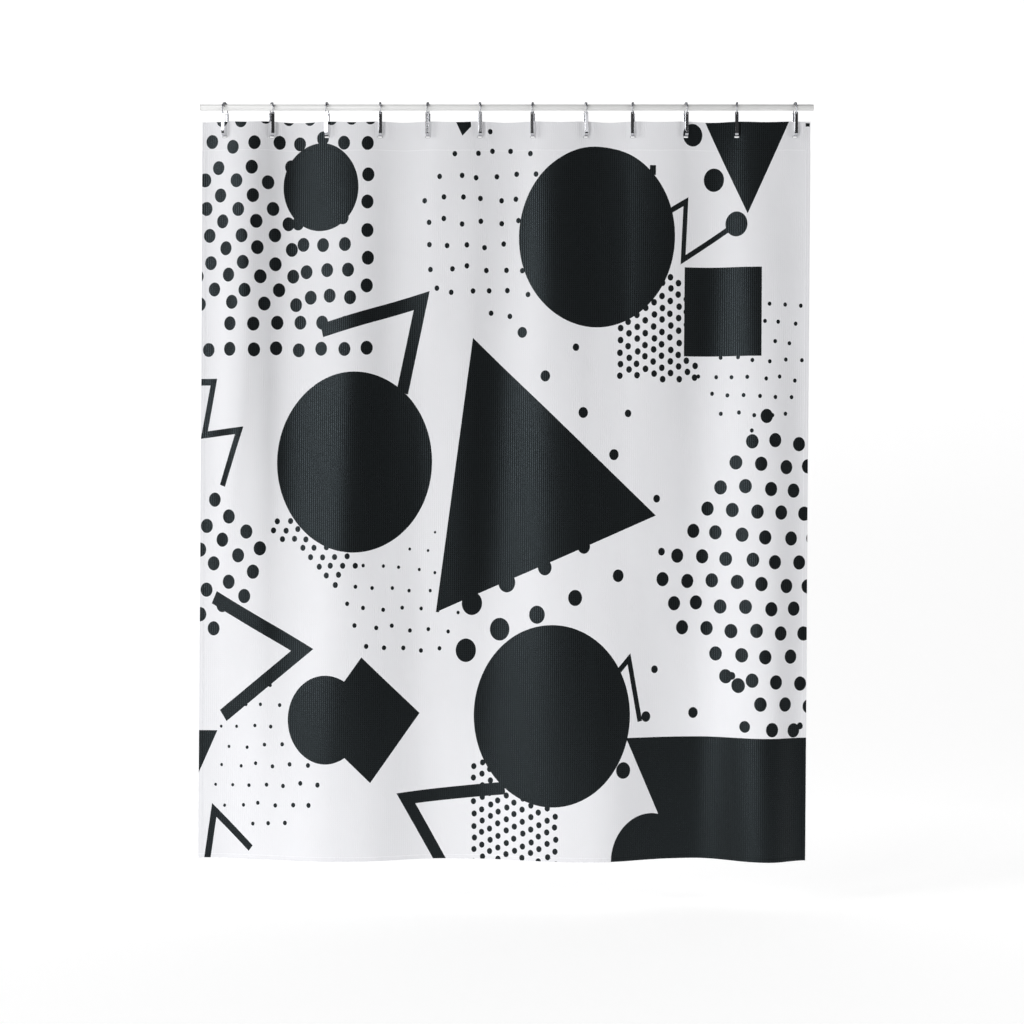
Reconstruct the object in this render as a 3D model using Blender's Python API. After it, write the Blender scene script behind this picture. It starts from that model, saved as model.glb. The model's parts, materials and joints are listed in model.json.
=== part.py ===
"""Shower curtain hanging from twelve roller rings on a round rod.

Metres, +Z up. The origin is on the rod's axis, halfway along it; +X runs along the rod and the
printed front of the cloth faces -Y. The cloth swings about the rod, the rings slide along it and
the top roller of each ring turns on its wire.
"""
from math import cos, pi, radians, sin, sqrt, tan

import bmesh
import bpy
from mathutils import Vector

# clearances
GAP = 0.0003                # between faces that touch on the real object
SHANK_CLEARANCE = 0.0003    # end plug in the tube's bore

# rod
ROD_DIAMETER = 0.016
ROD_WALL = 0.0012
ROD_OVERHANG_LEFT = 0.0036  # rod beyond the cloth's left edge
ROD_OVERHANG_RIGHT = 0.0070
PLUG_RIM = 0.0015
PLUG_SHANK_LENGTH = 0.012
PLUG_CHAMFER = 0.0004
ROD_SIDES = 40

# cloth
HUNG_WIDTH = 1.5505         # across the folds, along the rod
DROP = 1.880
CLOTH = 0.0005              # one layer
CLOTH_TOP = 0.0360          # top edge below the rod's axis
HEADER_HEIGHT = 0.072
BOTTOM_HEM_HEIGHT = 0.010
SIDE_HEM_WIDTH = 0.011
LEAN = 0.015                # the bottom edge hangs this far towards -X
LAYER_STEP = CLOTH + GAP    # from one layer's front to the next one's

# buttonholes, cut to the strip that passes through them
HOLE_SIDE_PLAY = 0.0015
HOLE_PLAY = 0.0028          # below the strip

# rings
RING_COUNT = 12
FIRST_RING_INSET = 0.059    # first ring from the cloth's left edge
LAST_RING_INSET = 0.0395
RING_STRAYS = (0, -0.013, -0.004, -0.001, -0.011, -0.011, -0.008, -0.005, -0.017, -0.014, -0.016, 0)
FIRST_RINGS_YAW = 22.0      # the first two rings are turned most
RING_YAW = 9.0
TURNED_RINGS = 2
WIRE_DIAMETER = 0.0024
BALL_DIAMETER = 0.006
BALL_SPACING = 0.0014       # along the wire, from one ball to the next
SIDE_BALLS = 2              # on each side of the top ball
BOW_PLAY = 0.0022           # a bow is wider than the rod and the balls by this
WIRE_END_DROP = 0.0085      # turned-in ends below the rod
WIRE_END_REACH = 0.002      # past the strip's inner face
WIRE_HOLE_PLAY = 0.001
WIRE_SIDES = 6
STRIP_WIDTH = 0.0085
STRIP_THICKNESS = 0.0012
STRIP_EAR = 0.004           # strip above the wire's hole
STRIP_REACH = 0.038         # strip below the cloth's top edge
STRIP_CORNER = 0.0025
BALL_SEGMENTS = 8
BEND_STEPS = 10

# folds: the broad ones at the bottom edge, as (share of the width, depth towards the back)
BROAD_FOLDS = (
    (0.0, 0.040), (0.245, -0.028), (0.417, 0.026), (0.644, -0.038),
    (0.815, 0.032), (0.940, -0.046), (1.0, -0.006),
)
BROAD_GROWTH = 1.2          # how late the broad folds open on the way down
NARROW_SWELL = 5.0          # the narrow folds open below the header
NARROW_FADE = 1.6           # and run out towards the bottom
COLUMNS_BETWEEN_RINGS = 3
ROWS_BELOW_HEADER = 7

# derived sizes
ROD_RADIUS = ROD_DIAMETER / 2
ROD_LENGTH = HUNG_WIDTH + ROD_OVERHANG_LEFT + ROD_OVERHANG_RIGHT
CLOTH_LEFT = -ROD_LENGTH / 2 + ROD_OVERHANG_LEFT
CLOTH_RIGHT = CLOTH_LEFT + HUNG_WIDTH
WIRE_RADIUS = WIRE_DIAMETER / 2
BALL_RADIUS = BALL_DIAMETER / 2
HOLE_WIDTH = STRIP_WIDTH + 2 * HOLE_SIDE_PLAY
HOLE_HEIGHT = STRIP_THICKNESS + HOLE_PLAY
BOW_RADIUS = ROD_RADIUS + BALL_RADIUS + BOW_PLAY
BALL_STEP = (BALL_DIAMETER + BALL_SPACING) / BOW_RADIUS
BOW_CENTRE_Z = ROD_RADIUS + GAP + BALL_RADIUS - BOW_RADIUS
END_BEND_RADIUS = WIRE_RADIUS + GAP
LEG_Y = BOW_RADIUS - END_BEND_RADIUS - STRIP_THICKNESS / 2
WIRE_END_DEPTH = ROD_RADIUS + WIRE_END_DROP
STRIP_TOP = WIRE_END_DEPTH - STRIP_EAR
STRIP_BOTTOM = CLOTH_TOP + STRIP_REACH
BEND_CENTRE_Z = -STRIP_BOTTOM + LEG_Y + STRIP_THICKNESS / 2
BEND_INNER_RADIUS = LEG_Y - STRIP_THICKNESS / 2
LAYERS_REACH = LAYER_STEP + CLOTH
HOLE_TOP_Z = BEND_CENTRE_Z - sqrt(BEND_INNER_RADIUS**2 - LAYERS_REACH**2) + GAP


def ring_place(number):
    """Where ring `number` sits along the rod."""
    first = CLOTH_LEFT + FIRST_RING_INSET
    pitch = (CLOTH_RIGHT - LAST_RING_INSET - first) / (RING_COUNT - 1)
    return first + number * pitch + RING_STRAYS[number]


def ring_yaw(number):
    """Rings turn left and right in turn, square to the cloth that they carry."""
    turn = FIRST_RINGS_YAW if number < TURNED_RINGS else RING_YAW
    return radians(turn) * (1 if number % 2 else -1)


def narrow_folds(x):
    """Depth of the folds between rings: a cubic that crosses zero at each ring at the ring's yaw."""
    places = [ring_place(n) for n in range(RING_COUNT)]
    slopes = [tan(ring_yaw(n)) for n in range(RING_COUNT)]
    if x <= places[0]:
        edge = places[0] - CLOTH_LEFT
        return slopes[0] * (x - places[0]) * (1 - (places[0] - x) / (2 * edge))
    if x >= places[-1]:
        edge = CLOTH_RIGHT - places[-1]
        return slopes[-1] * (x - places[-1]) * (1 - (x - places[-1]) / (2 * edge))
    left = max(n for n in range(RING_COUNT - 1) if places[n] <= x)
    span = places[left + 1] - places[left]
    t = (x - places[left]) / span
    return span * (slopes[left] * t * (1 - t) ** 2 - slopes[left + 1] * t * t * (1 - t))


def broad_folds(x):
    """Depth of the folds at the bottom edge: cosine steps from one fold's crest to the next."""
    share = min(max((x - CLOTH_LEFT) / HUNG_WIDTH, 0.0), 1.0)
    for (start, from_depth), (end, to_depth) in zip(BROAD_FOLDS, BROAD_FOLDS[1:]):
        if share <= end:
            t = (share - start) / (end - start)
            return from_depth + (to_depth - from_depth) * (1 - cos(pi * t)) / 2
    return BROAD_FOLDS[-1][1]


def cloth_point(x, depth, layer):
    """A point of the hung cloth: x along the top edge, depth below it, layer towards the back."""
    down = depth / DROP
    narrow = narrow_folds(x) * (1 + NARROW_SWELL * down) * (1 - down) ** NARROW_FADE
    broad = broad_folds(x) * down**BROAD_GROWTH
    return Vector((x - LEAN * down, narrow + broad + layer, -CLOTH_TOP - depth))


def material(name, colour, roughness, metallic=0.0):
    made = bpy.data.materials.new(name)
    made.use_nodes = True
    shader = made.node_tree.nodes["Principled BSDF"]
    shader.inputs["Base Color"].default_value = (*colour, 1.0)
    shader.inputs["Roughness"].default_value = roughness
    shader.inputs["Metallic"].default_value = metallic
    return made


def mesh_from(name, points, faces, sharp_degrees=40):
    mesh = bpy.data.meshes.new(name)
    mesh.from_pydata([tuple(p) for p in points], [], faces)
    mesh.shade_smooth()
    mesh.set_sharp_from_angle(angle=radians(sharp_degrees))
    return mesh


def place(name, mesh, finish, parent=None, location=(0, 0, 0)):
    if not mesh.materials:
        mesh.materials.append(finish)
    made = bpy.data.objects.new(name, mesh)
    made.location = location
    made.parent = parent
    bpy.context.collection.objects.link(made)
    return made


def guide(name, location=(0, 0, 0), yaw=0.0, parent=None):
    made = bpy.data.objects.new(name, None)
    made.location = location
    made.rotation_euler = (0, 0, yaw)
    made.parent = parent
    bpy.context.collection.objects.link(made)
    return made


def turned(name, profile, sides, axis, sharp_degrees=40):
    """A closed outline of (radius, along) points, counter-clockwise, turned about X or Y."""
    points, faces = [], []
    for side in range(sides):
        angle = 2 * pi * side / sides
        for radius, along in profile:
            round_point = (radius * cos(angle), radius * sin(angle))
            if axis == "X":
                points.append((along, *round_point))
            else:
                points.append((round_point[1], along, round_point[0]))
    count = len(profile)
    for side in range(sides):
        here, after = side * count, (side + 1) % sides * count
        for step in range(count):
            nxt = (step + 1) % count
            faces.append((here + step, here + nxt, after + nxt, after + step))
    return mesh_from(name, points, faces, sharp_degrees)


def closed_at_axis(mesh):
    """Merges the points on the turning axis and points the faces outwards."""
    shape = bmesh.new()
    shape.from_mesh(mesh)
    bmesh.ops.remove_doubles(shape, verts=shape.verts, dist=1e-7)
    bmesh.ops.dissolve_degenerate(shape, edges=shape.edges, dist=1e-7)
    bmesh.ops.recalc_face_normals(shape, faces=shape.faces)
    shape.to_mesh(mesh)
    shape.free()
    return mesh


def rod_tube(finish):
    half = ROD_LENGTH / 2 - PLUG_RIM - GAP
    bore = ROD_RADIUS - ROD_WALL
    outline = [(bore, -half), (ROD_RADIUS, -half), (ROD_RADIUS, half), (bore, half)]
    return place("rod_tube", closed_at_axis(turned("rod_tube", outline, ROD_SIDES, "X")), finish)


def rod_plug(name, side, finish):
    """End plug: a rim that covers the tube's end and a shank inside the bore."""
    shank = ROD_RADIUS - ROD_WALL - SHANK_CLEARANCE
    end = ROD_LENGTH / 2
    rim = end - PLUG_RIM
    tip = rim - PLUG_SHANK_LENGTH
    outline = [
        (0, tip), (shank, tip), (shank, rim), (ROD_RADIUS, rim),
        (ROD_RADIUS, end - PLUG_CHAMFER), (ROD_RADIUS - PLUG_CHAMFER, end), (0, end),
    ]
    profile = [(radius, side * along) for radius, along in outline]
    return place(name, closed_at_axis(turned(name, profile, ROD_SIDES, "X")), finish)


def swept(name, stations, sections):
    """A closed tube: one section of points at each station along a path in the YZ plane."""
    points, faces = [], []
    sides = len(sections[0])
    for index, (y, z) in enumerate(stations):
        before = Vector(stations[max(index - 1, 0)])
        after = Vector(stations[min(index + 1, len(stations) - 1)])
        along = (after - before).normalized()
        across = Vector((along.y, -along.x))
        for width, thickness in sections[index]:
            points.append((width, y + across.x * thickness, z + across.y * thickness))
    for index in range(len(stations) - 1):
        here, after = index * sides, (index + 1) * sides
        for side in range(sides):
            nxt = (side + 1) % sides
            faces.append((here + side, here + nxt, after + nxt, after + side))
    last = (len(stations) - 1) * sides
    faces.append(tuple(range(sides)))
    faces.append(tuple(last + side for side in range(sides)))
    return closed_at_axis(mesh_from(name, points, faces))


def bow_half():
    """Centre line of the rear half of a bow, from the top ball down, as (y, z, radius)."""
    ball_steps = (-1.0, -0.62, 0.0, 0.62, 1.0)
    ball_reach = sqrt(BALL_RADIUS**2 - WIRE_RADIUS**2)
    line = []

    def on_arc(angle, radius):
        line.append((BOW_RADIUS * sin(angle), BOW_CENTRE_Z + BOW_RADIUS * cos(angle), radius))

    on_arc(BALL_STEP / 4, WIRE_RADIUS)
    for ball in range(1, SIDE_BALLS + 1):
        for step in ball_steps:
            away = step * ball_reach
            radius = max(sqrt(BALL_RADIUS**2 - away**2), WIRE_RADIUS)
            on_arc(ball * BALL_STEP + away / BOW_RADIUS, radius)
    on_arc(pi / 2, WIRE_RADIUS)
    bend_z = -WIRE_END_DEPTH + END_BEND_RADIUS
    bend_y = BOW_RADIUS - END_BEND_RADIUS
    for step in range(4):
        angle = step * pi / 6
        line.append((bend_y + END_BEND_RADIUS * cos(angle),
                     bend_z - END_BEND_RADIUS * sin(angle), WIRE_RADIUS))
    line.append((LEG_Y - STRIP_THICKNESS / 2 - WIRE_END_REACH, -WIRE_END_DEPTH, WIRE_RADIUS))
    return line


def bow_mesh():
    """Wire over the rod with its four side balls, both ends turned in through the strip."""
    rear = bow_half()
    line = [(-y, z, radius) for y, z, radius in reversed(rear)] + rear
    sections = [
        [(radius * sin(2 * pi * n / WIRE_SIDES), radius * cos(2 * pi * n / WIRE_SIDES))
         for n in range(WIRE_SIDES)]
        for _, _, radius in line
    ]
    return swept("ring_bow", [(y, z) for y, z, _ in line], sections)


def roller_mesh():
    """Ball with a bore that clears the curved wire, turned about Y, centred on the wire."""
    sag = BOW_RADIUS - sqrt(BOW_RADIUS**2 - BALL_RADIUS**2)
    bore = (WIRE_RADIUS + sag + GAP) / cos(pi / BALL_SEGMENTS)
    mouth = sqrt(BALL_RADIUS**2 - bore**2)
    shoulder = mouth * 0.6
    outline = [
        (bore, -mouth), (sqrt(BALL_RADIUS**2 - shoulder**2), -shoulder), (BALL_RADIUS, 0.0),
        (sqrt(BALL_RADIUS**2 - shoulder**2), shoulder), (bore, mouth),
    ]
    return closed_at_axis(turned("top_roller", outline, BALL_SEGMENTS, "Y"))


def strip_mesh():
    """Flat strip bent to a U, with rounded top corners."""
    corner = STRIP_CORNER
    ends = [(0.0, STRIP_WIDTH / 2 - corner), (corner * 0.3, STRIP_WIDTH / 2 - corner * 0.29),
            (corner, STRIP_WIDTH / 2)]
    leg = [(LEG_Y, -STRIP_TOP - down, half) for down, half in ends]
    bend = []
    for step in range(BEND_STEPS + 1):
        angle = pi * step / BEND_STEPS
        bend.append((LEG_Y * cos(angle), BEND_CENTRE_Z - LEG_Y * sin(angle), STRIP_WIDTH / 2))
    line = leg + bend + [(-y, z, half) for y, z, half in reversed(leg)]
    thick = STRIP_THICKNESS / 2
    sections = [[(-half, -thick), (half, -thick), (half, thick), (-half, thick)]
                for _, _, half in line]
    return swept("strip_clip", [(y, z) for y, z, _ in line], sections)


def strip_hole_cutter():
    """Pin along Y that cuts the wire's hole through both legs."""
    reach = LEG_Y + STRIP_THICKNESS
    radius = (WIRE_DIAMETER + WIRE_HOLE_PLAY) / 2
    outline = [(0, -reach), (radius, -reach), (radius, reach), (0, reach)]
    mesh = closed_at_axis(turned("strip_hole_cutter", outline, 12, "Y"))
    return mesh


def with_holes(mesh, cutter_mesh, finish):
    """The strip with its two round holes, cut once and then shared by every ring."""
    strip = place("strip_blank", mesh, finish)
    cutter = place("strip_hole_cutter", cutter_mesh, finish, location=(0, 0, -WIRE_END_DEPTH))
    cutter.hide_render = True
    cutter.display_type = "WIRE"
    cut = strip.modifiers.new("wire holes", "BOOLEAN")
    cut.object = cutter
    cut.operation = "DIFFERENCE"
    bpy.context.view_layer.update()
    seen = strip.evaluated_get(bpy.context.evaluated_depsgraph_get())
    holed = bpy.data.meshes.new_from_object(seen)
    holed.name = "strip_clip_holed"
    bpy.data.objects.remove(strip)
    bpy.data.objects.remove(cutter)
    return holed


def rings(hang, bow_finish, ball_finish, strip_finish):
    bow = bow_mesh()
    roller = roller_mesh()
    strip = with_holes(strip_mesh(), strip_hole_cutter(), strip_finish)
    for number in range(RING_COUNT):
        label = f"{number + 1:02d}"
        slider = guide(f"ring_place_{label}", (ring_place(number), 0, 0), ring_yaw(number), hang)
        place(f"ring_bow_{label}", bow, bow_finish, slider)
        place(f"strip_clip_{label}", strip, strip_finish, slider)
        top_of_bow = BOW_CENTRE_Z + BOW_RADIUS
        place(f"top_roller_{label}", roller, ball_finish, slider, (0, 0, top_of_bow))


def panel_columns():
    """Places across the cloth: its edges, the hems' edges, the holes' sides and points between."""
    stops = [CLOTH_LEFT, CLOTH_LEFT + SIDE_HEM_WIDTH]
    for number in range(RING_COUNT):
        stops += [ring_place(number) - HOLE_WIDTH / 2, ring_place(number) + HOLE_WIDTH / 2]
    stops += [CLOTH_RIGHT - SIDE_HEM_WIDTH, CLOTH_RIGHT]
    columns, holes = [], []
    for index, (start, end) in enumerate(zip(stops, stops[1:])):
        is_hole = 2 <= index < 2 + 2 * RING_COUNT and index % 2 == 0
        is_gap = 2 < index < 1 + 2 * RING_COUNT and index % 2 == 1
        if is_hole:
            holes.append(len(columns))
        steps = COLUMNS_BETWEEN_RINGS + 1 if is_gap else 1
        columns += [start + (end - start) * step / steps for step in range(steps)]
    return columns + [CLOTH_RIGHT], holes


def sheet(name, columns, rows, layer, finish, parent, holes=()):
    """A closed layer of cloth over columns (x) and rows (depth), without the cells in holes."""
    wide, tall = len(columns), len(rows)
    front = [cloth_point(x, depth, layer) for depth in rows for x in columns]
    back = [cloth_point(x, depth, layer + CLOTH) for depth in rows for x in columns]
    cells = {(c, r) for c in range(wide - 1) for r in range(tall - 1)} - set(holes)
    faces = []
    behind = wide * tall
    for c, r in sorted(cells):
        a = r * wide + c
        b, d, e = a + 1, a + wide, a + wide + 1
        faces += [(a, d, e), (a, e, b)]
        faces += [(a + behind, e + behind, d + behind), (a + behind, b + behind, e + behind)]
        sides = (((c, r - 1), a, b), ((c, r + 1), e, d), ((c - 1, r), d, a), ((c + 1, r), b, e))
        for neighbour, p, q in sides:
            if neighbour not in cells:
                faces += [(p, q, q + behind), (p, q + behind, p + behind)]
    mesh = mesh_from(name, front + back, faces, 60)
    shape = bmesh.new()
    shape.from_mesh(mesh)
    bmesh.ops.delete(shape, geom=[v for v in shape.verts if not v.link_faces], context="VERTS")
    bmesh.ops.recalc_face_normals(shape, faces=shape.faces)
    shape.to_mesh(mesh)
    shape.free()
    return place(name, mesh, finish, parent)


def cloth(hang, printed, plain):
    columns, hole_columns = panel_columns()
    hole_top = -HOLE_TOP_Z - CLOTH_TOP
    header = [0.0, hole_top, hole_top + HOLE_HEIGHT, HEADER_HEIGHT]
    hem_line = DROP - BOTTOM_HEM_HEIGHT
    below = [HEADER_HEIGHT + (hem_line - HEADER_HEIGHT) * step / ROWS_BELOW_HEADER
             for step in range(1, ROWS_BELOW_HEADER + 1)]
    holes = [(column, 1) for column in hole_columns]
    sheet("curtain_panel", columns, header + below + [DROP], 0.0, printed, hang, holes)
    sheet("header_band", columns, header, LAYER_STEP, plain, hang, holes)
    sheet("bottom_hem", columns, [hem_line, DROP], LAYER_STEP, plain, hang)
    hem_rows = [HEADER_HEIGHT + GAP] + below[:-1] + [hem_line - GAP]
    sheet("side_hem_left", columns[:2], hem_rows, LAYER_STEP, plain, hang)
    sheet("side_hem_right", columns[-2:], hem_rows, LAYER_STEP, plain, hang)


def main():
    for old in list(bpy.data.objects):
        bpy.data.objects.remove(old)
    white_paint = material("white painted steel", (0.90, 0.90, 0.89), 0.35)
    white_plastic = material("white plastic", (0.88, 0.88, 0.87), 0.45)
    wire_chrome = material("chromed wire", (0.62, 0.62, 0.63), 0.12, 1.0)
    ball_chrome = material("chromed ball", (0.66, 0.66, 0.67), 0.08, 1.0)
    strip_chrome = material("chromed strip", (0.70, 0.70, 0.71), 0.16, 1.0)
    printed = material("printed polyester", (0.80, 0.80, 0.82), 0.75)
    plain = material("plain polyester", (0.78, 0.78, 0.80), 0.75)
    rod_tube(white_paint)
    rod_plug("rod_plug_left", -1, white_plastic)
    rod_plug("rod_plug_right", 1, white_plastic)
    hang = guide("curtain_hang")
    rings(hang, wire_chrome, ball_chrome, strip_chrome)
    cloth(hang, printed, plain)


main()
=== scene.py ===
"""Looks of a printed shower curtain on twelve roller rings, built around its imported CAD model.

Metres, +Z up. The rod lies along X with its axis at the origin, and the printed side faces -Y.
"""
import json
from math import ceil, pi, radians, sqrt

import bmesh
import bpy
import numpy as np
from bpy.props import FloatProperty, FloatVectorProperty, IntProperty, PointerProperty
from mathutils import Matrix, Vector

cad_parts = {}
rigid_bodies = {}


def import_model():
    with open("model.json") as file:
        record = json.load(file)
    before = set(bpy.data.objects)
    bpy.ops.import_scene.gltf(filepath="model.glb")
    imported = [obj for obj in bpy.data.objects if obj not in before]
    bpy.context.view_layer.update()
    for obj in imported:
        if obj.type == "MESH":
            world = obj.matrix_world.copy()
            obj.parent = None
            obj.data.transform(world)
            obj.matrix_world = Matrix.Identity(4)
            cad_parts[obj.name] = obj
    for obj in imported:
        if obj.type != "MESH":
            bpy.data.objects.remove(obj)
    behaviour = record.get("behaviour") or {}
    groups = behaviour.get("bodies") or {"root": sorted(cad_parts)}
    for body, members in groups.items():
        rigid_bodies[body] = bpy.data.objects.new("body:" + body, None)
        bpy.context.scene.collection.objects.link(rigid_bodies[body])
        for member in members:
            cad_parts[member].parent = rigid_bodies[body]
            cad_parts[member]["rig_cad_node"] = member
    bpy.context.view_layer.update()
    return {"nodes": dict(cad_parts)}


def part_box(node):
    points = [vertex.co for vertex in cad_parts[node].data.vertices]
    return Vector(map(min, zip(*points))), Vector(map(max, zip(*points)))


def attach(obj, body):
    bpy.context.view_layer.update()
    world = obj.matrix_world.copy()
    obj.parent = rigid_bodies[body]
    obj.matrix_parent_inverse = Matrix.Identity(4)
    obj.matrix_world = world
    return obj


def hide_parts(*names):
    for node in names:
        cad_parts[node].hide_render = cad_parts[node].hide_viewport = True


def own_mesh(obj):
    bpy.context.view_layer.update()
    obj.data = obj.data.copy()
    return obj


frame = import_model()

bl_info = {
    "name": "Shower curtain",
    "version": (1, 0, 0),
    "blender": (4, 5, 0),
    "location": "View3D > Sidebar > Curtain",
    "description": "Printed cloth, roller rings and rod of a shower curtain",
    "category": "Add Mesh",
}

# what the frame gives
PANEL_LOW, PANEL_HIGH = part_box("curtain_panel")
HEADER_LOW, HEADER_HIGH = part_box("header_band")
ROD_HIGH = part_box("rod_tube")[1]
PLUG_LOW, PLUG_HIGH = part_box("rod_plug_right")
BALL_LOW, BALL_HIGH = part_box("top_roller_01")
RING_COUNT = sum(1 for node in frame["nodes"] if node.startswith("ring_bow_"))
RINGS = range(1, RING_COUNT + 1)
RING_X = np.array([sum(corner.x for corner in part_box(f"top_roller_{n:02d}")) / 2 for n in RINGS])

# sizes that the CAD model also uses
LEAN = 0.015                # the bottom edge hangs this far towards -X
CLOTH = 0.0005              # one layer
GAP = 0.0003                # between the layers
BOTTOM_HEM_HEIGHT = 0.010
SIDE_HEM_WIDTH = 0.011
HOLE_WIDTH = 0.0115
HOLE_HEIGHT = 0.004
FIRST_RINGS_YAW = 22.0      # the first two rings are turned most
RING_YAW = 9.0
WIRE_DIAMETER = 0.0024
WIRE_HOLE_DIAMETER = 0.0034
BOW_PLAY = 0.0022           # a bow is wider than the rod and the balls by this
BALL_SPACING = 0.0014
WIRE_END_DROP = 0.0085
WIRE_END_REACH = 0.002
STRIP_WIDTH = 0.0085
STRIP_THICKNESS = 0.0012
STRIP_EAR = 0.004
STRIP_REACH = 0.038
STRIP_CORNER = 0.0025
STRIP_CROWN = 0.0014        # the strip's outer face is rounded off by this at its sides
STRIP_BULGE = 0.0004        # and stands proud by this in the middle
BROAD_FOLDS = (
    (0.0, 0.040), (0.245, -0.028), (0.417, 0.026), (0.644, -0.038),
    (0.815, 0.032), (0.940, -0.046), (1.0, -0.006),
)
BROAD_GROWTH = 1.2
NARROW_SWELL = 5.0
NARROW_FADE = 1.6

# sizes worked out from those
CLOTH_LEFT = PANEL_LOW.x + LEAN
CLOTH_RIGHT = PANEL_HIGH.x
HUNG_WIDTH = CLOTH_RIGHT - CLOTH_LEFT
TOP_EDGE = PANEL_HIGH.z
DROP = PANEL_HIGH.z - PANEL_LOW.z
HEADER_HEIGHT = HEADER_HIGH.z - HEADER_LOW.z
LAYER_STEP = CLOTH + GAP
LAYERS_REACH = LAYER_STEP + CLOTH
RING_YAWS = np.radians([(FIRST_RINGS_YAW if n < 3 else RING_YAW) * (-1) ** n for n in RINGS])
ROD_RADIUS = ROD_HIGH.z
BALL_RADIUS = (BALL_HIGH.z - BALL_LOW.z) / 2
BALL_Z = (BALL_HIGH.z + BALL_LOW.z) / 2
BOW_RADIUS = ROD_RADIUS + BALL_RADIUS + BOW_PLAY
BOW_Z = BALL_Z - BOW_RADIUS
WIRE_END_Z = -ROD_RADIUS - WIRE_END_DROP
END_BEND = WIRE_DIAMETER / 2 + GAP
LEG_Y = BOW_RADIUS - END_BEND - STRIP_THICKNESS / 2
STRIP_TOP_Z = WIRE_END_Z + STRIP_EAR
STRIP_BOTTOM_Z = TOP_EDGE - STRIP_REACH
BEND_Z = STRIP_BOTTOM_Z + LEG_Y + STRIP_THICKNESS / 2
HOLE_TOP_Z = BEND_Z - sqrt((LEG_Y - STRIP_THICKNESS / 2) ** 2 - LAYERS_REACH**2) + GAP
HOLE_DEPTH = TOP_EDGE - HOLE_TOP_Z      # buttonholes' top side below the cloth's top edge
HEADER_STOPS = [0.0, HOLE_DEPTH, HOLE_DEPTH + HOLE_HEIGHT, HEADER_HEIGHT]

# the cloth before it was hung
FLAT_WIDTH = 1.803
FLAT_LENGTH = 1.880

# the finer shapes that it takes as it hangs
TOP_SAG = 0.0022            # of the top edge between two rings
SAG_FADE = 0.08             # a share of the drop
RIPPLE = 0.0013             # faint waves that run down the cloth
RIPPLE_PITCH = 0.173
RIPPLE_DRIFT = 0.05         # sideways over the whole drop
CREASE = 0.0024             # step of the crease that drifts left from the second ring
CREASE_START = 0.030        # left of that ring
CREASE_DRIFT = 0.21
CREASE_SPREAD = 0.016
CALMING = 0.8               # share of the narrow folds lost after the last ring but one
CALM_WIDTH = 0.14
PUCKER = 0.0011             # below each buttonhole
PUCKER_WIDTH = 0.014
PUCKER_HEIGHT = 0.03

# what the back, the seams and the view need
GHOST_PRINT = 0.16          # share of the ink that shows on the back
STITCH_INSET = 0.0015       # from a hem's edge
CAMERA_X, CAMERA_Z = 0.013, -1.030

# longest steps of the cloth's mesh
COLUMN_STEP = 0.0085
ROW_STEP = 0.0125
HEADER_STEP = 0.006
FACING_STEP = 0.012


def metres(millimetres):
    """Nested sizes in millimetres, as metres."""
    return tuple(metres(value) if isinstance(value, tuple) else value / 1000
                 for value in millimetres)


# the print, in millimetres across the flat cloth from its left edge and down from its top edge
LARGE_DISCS = metres((
    (1173, 293, 231), (459.5, 867, 230), (1050, 1512, 231),
    (354, 166, 112), (381, 1522, 112.5), (1344, 1879, 117),
))
LOOSE_DOTS = metres((
    (1454.5, 33.4, 28.7), (1519, 146.6, 29.8), (1586, 260, 31.8),
    (954, 536, 13.9), (1113, 575, 9.6), (1023, 648, 14.2),
    (1136, 741, 14), (1269, 743, 9.7), (1228, 848, 14), (1356, 960, 10),
    (794, 1347, 30), (894, 1293, 29), (1004, 1255, 23),
    (1116, 1212, 20.5), (1243, 1156, 16), (1372, 1095, 10),
    (811, 1227, 30), (914, 1174, 25), (1026, 1135, 20), (1141, 1082, 18),
    (1354, 1395, 10), (1471, 1507, 14), (1329, 1515, 13.5), (1262, 1650, 21),
    (264, 113, 17.8), (286, 257, 17.8), (420, 244, 17.8),
    (60, -5, 17.8), (117, -3, 17.8), (190, -12, 17.8),
    (256, -10, 17.8), (320, -10, 17.8), (384, -9, 17.8),
    (444, -11, 17.8), (500, -11, 17.8),
    (30, 50, 17.8), (94, 65, 17.8), (158, 53, 17.8),
    (230, 52, 17.8), (290, 54, 17.8), (359, 42, 17.8),
    (422, 53, 17.8), (492, 54, 17.8),
    (1582, 1411, 10), (1600, 1435, 19), (1784, 1538, 9), (1619, 1539, 15),
))
BLOCKS = metres((
    ((1486, -10), (1744, -10), (1618, 234)),
    ((808, 550), (1354, 1003), (704, 1250)),
    ((1434, 370), (1661, 370), (1661, 597), (1434, 597)),
    ((486.5, 1363), (658, 1507), (515.5, 1682), (344, 1538)),
    ((-10, 1553), (55.5, 1553), (-10, 1681)),
    ((1270, 1568), (1810, 1568), (1810, 1900), (1437, 1900)),
    ((748, -10), (795, -10), (798, 12), (772, 35)),
    ((1789, 3), (1801, 3), (1801, 12), (1789, 12)),
    ((1328, 110), (1346, 110), (1346, 135), (1328, 135)),
))
ZIGZAGS = metres((
    (35, ((360, 532), (655, 455), (599.5, 690))),
    (14, ((1380, 232), (1436, 203), (1429, 351), (1586, 260))),
    (17, ((-10, 662), (38.6, 662), (10, 797), (118.5, 786), (67.6, 927))),
    (35, ((43.6, 1212), (310, 1345), (73, 1515))),
    (19, ((24, 1900), (47, 1758), (159, 1853))),
    (32, ((913, 1698), (620, 1724), (733, 1900))),
    (14, ((1245, 1400), (1277, 1367), (1311, 1527))),
))
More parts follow.
